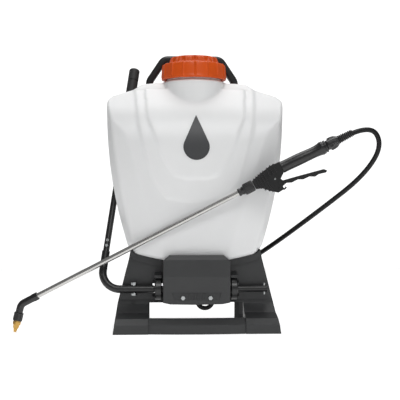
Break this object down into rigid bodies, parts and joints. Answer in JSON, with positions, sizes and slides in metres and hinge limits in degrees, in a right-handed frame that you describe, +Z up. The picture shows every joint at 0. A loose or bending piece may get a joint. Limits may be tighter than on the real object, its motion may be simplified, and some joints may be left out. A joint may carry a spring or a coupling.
{
  "type": "backpack sprayer",
  "caption": "Hand-pumped backpack sprayer: tank on a skirted base, swinging pump lever, shut-off lance with hose, screw cap and shoulder harness.",
  "frame": {"origin": "on the floor under the middle of the tank, which is also the middle of the whole footprint with lance and straps", "axes": "+Z up, -Y the outer side with the pump cover, +Y the wearer's side, +X the hose side"},
  "size_m": [0.6975, 0.2967, 0.5495],
  "materials": {
    "tank_poly": "translucent blow-moulded polyethylene, satin",
    "cap_orange": "injection-moulded polypropylene, fine grain",
    "base_grey": "textured polypropylene",
    "black_plastic": "glass-filled nylon, satin",
    "seal_rubber": "moulded rubber",
    "white_plastic": "acetal",
    "steel": "zinc-plated steel",
    "wand_steel": "stainless tube, drawn",
    "lever_paint": "black powder coat",
    "hose_rubber": "PVC hose, satin",
    "nozzle_brass": "turned brass",
    "mark_print": "printed film",
    "pad_foam": "nylon-covered foam",
    "webbing": "woven polypropylene webbing"
  },
  "bodies": {
    "frame": {"tank": "tank_poly", "tank_mark": "mark_print", "base_frame": "base_grey", "base_screws": "steel", "carry_handle": "black_plastic", "back_pad": "pad_foam", "strap_plate": "black_plastic", "left_shoulder_pad": "pad_foam", "right_shoulder_pad": "pad_foam", "left_lower_strap": "webbing", "right_lower_strap": "webbing", "strap_buckles": "black_plastic", "pump_cylinder": "white_plastic", "pump_gasket": "seal_rubber", "pump_nut": "white_plastic", "rod_guide": "white_plastic", "pump_head": "white_plastic", "inlet_valve": "seal_rubber", "pressure_chamber": "white_plastic", "chamber_nut": "white_plastic", "outlet_elbow": "black_plastic", "hose_gland": "nozzle_brass", "hose": "hose_rubber", "pump_cover": "base_grey", "cover_bolts": "steel", "cover_loop": "hose_rubber", "left_bearing": "black_plastic", "right_bearing": "black_plastic"},
    "lever": {"pump_shaft": "lever_paint", "crank_arm": "steel", "shaft_pin": "steel", "lever_elbow": "lever_paint", "lever_tube": "lever_paint", "lever_grip": "seal_rubber", "lever_bolt": "steel", "lever_nut": "steel", "lever_rivets": "steel"},
    "piston": {"piston_rod": "white_plastic", "piston_seal": "seal_rubber"},
    "strainer": {"strainer_basket": "white_plastic"},
    "gasket": {"cap_gasket": "seal_rubber"},
    "cap": {"tank_cap": "cap_orange", "cap_vent": "white_plastic"},
    "lance": {"handle_grip": "black_plastic", "valve_body": "black_plastic", "hose_nut": "black_plastic", "strain_relief": "seal_rubber", "trigger_pin": "steel"},
    "trigger": {"trigger": "black_plastic"},
    "stem": {"valve_stem": "steel"},
    "lock": {"trigger_lock": "black_plastic"},
    "wand_nut": {"wand_nut": "black_plastic"},
    "wand": {"wand_tube": "wand_steel", "nozzle_elbow": "black_plastic"},
    "nozzle": {"nozzle_nut": "black_plastic", "spray_nozzle": "nozzle_brass"}
  },
  "joints": [
    {"name": "pump_lever", "type": "hinge", "parent": "frame", "child": "lever", "pos_m": [0, -0.086, 0.081], "axis": [-1, 0, 0], "range_deg": [0, 70]},
    {"name": "piston_stroke", "type": "slide", "parent": "frame", "child": "piston", "axis": [0, 0, 1], "range_m": [-0.0437, 0]},
    {"name": "strainer_lift", "type": "slide", "parent": "frame", "child": "strainer", "axis": [0, 0, 1], "range_m": [0, 0.09]},
    {"name": "cap_rise", "type": "slide", "parent": "strainer", "child": "gasket", "axis": [0, 0, 1], "range_m": [0, 0.009]},
    {"name": "cap_turn", "type": "hinge", "parent": "gasket", "child": "cap", "pos_m": [0, 0, 0.5], "axis": [0, 0, 1], "range_deg": [0, 540]},
    {"name": "lance_lift", "type": "slide", "parent": "frame", "child": "lance", "axis": [0, -0.6, 0.8], "range_m": [0, 0.12]},
    {"name": "trigger_pull", "type": "hinge", "parent": "lance", "child": "trigger", "pos_m": [0.14661, -0.12543, 0.29062], "axis": [-0.0907, -0.9959, 0], "range_deg": [0, 14], "stiffness_Nm_per_rad": 1.2, "springref_deg": -17.19},
    {"name": "stem_travel", "type": "slide", "parent": "lance", "child": "stem", "axis": [0.8862, -0.0807, 0.4561], "range_m": [0, 0.0031]},
    {"name": "lock_swing", "type": "hinge", "parent": "lance", "child": "lock", "pos_m": [0.15615, -0.1263, 0.27193], "axis": [0.0907, 0.9959, 0], "range_deg": [0, 35]},
    {"name": "wand_nut_turn", "type": "hinge", "parent": "lance", "child": "wand_nut", "pos_m": [0.09601, -0.12082, 0.27357], "axis": [0.8862, -0.0807, 0.4561], "range_deg": [0, 360]},
    {"name": "wand_swivel", "type": "hinge", "parent": "lance", "child": "wand", "pos_m": [0.09601, -0.12082, 0.27357], "axis": [0.8862, -0.0807, 0.4561], "range_deg": [-180, 180]},
    {"name": "nozzle_turn", "type": "hinge", "parent": "wand", "child": "nozzle", "pos_m": [-0.33276, -0.08177, 0.05288], "axis": [0.2217, -0.0202, 0.9749], "range_deg": [0, 360]}
  ],
  "couplings": [
    {"joint": "piston_stroke", "follows": "pump_lever", "m_per_rad": -0.03568},
    {"joint": "cap_rise", "follows": "cap_turn", "m_per_rad": 0.00095493},
    {"joint": "stem_travel", "follows": "trigger_pull", "m_per_rad": 0.0118}
  ]
}
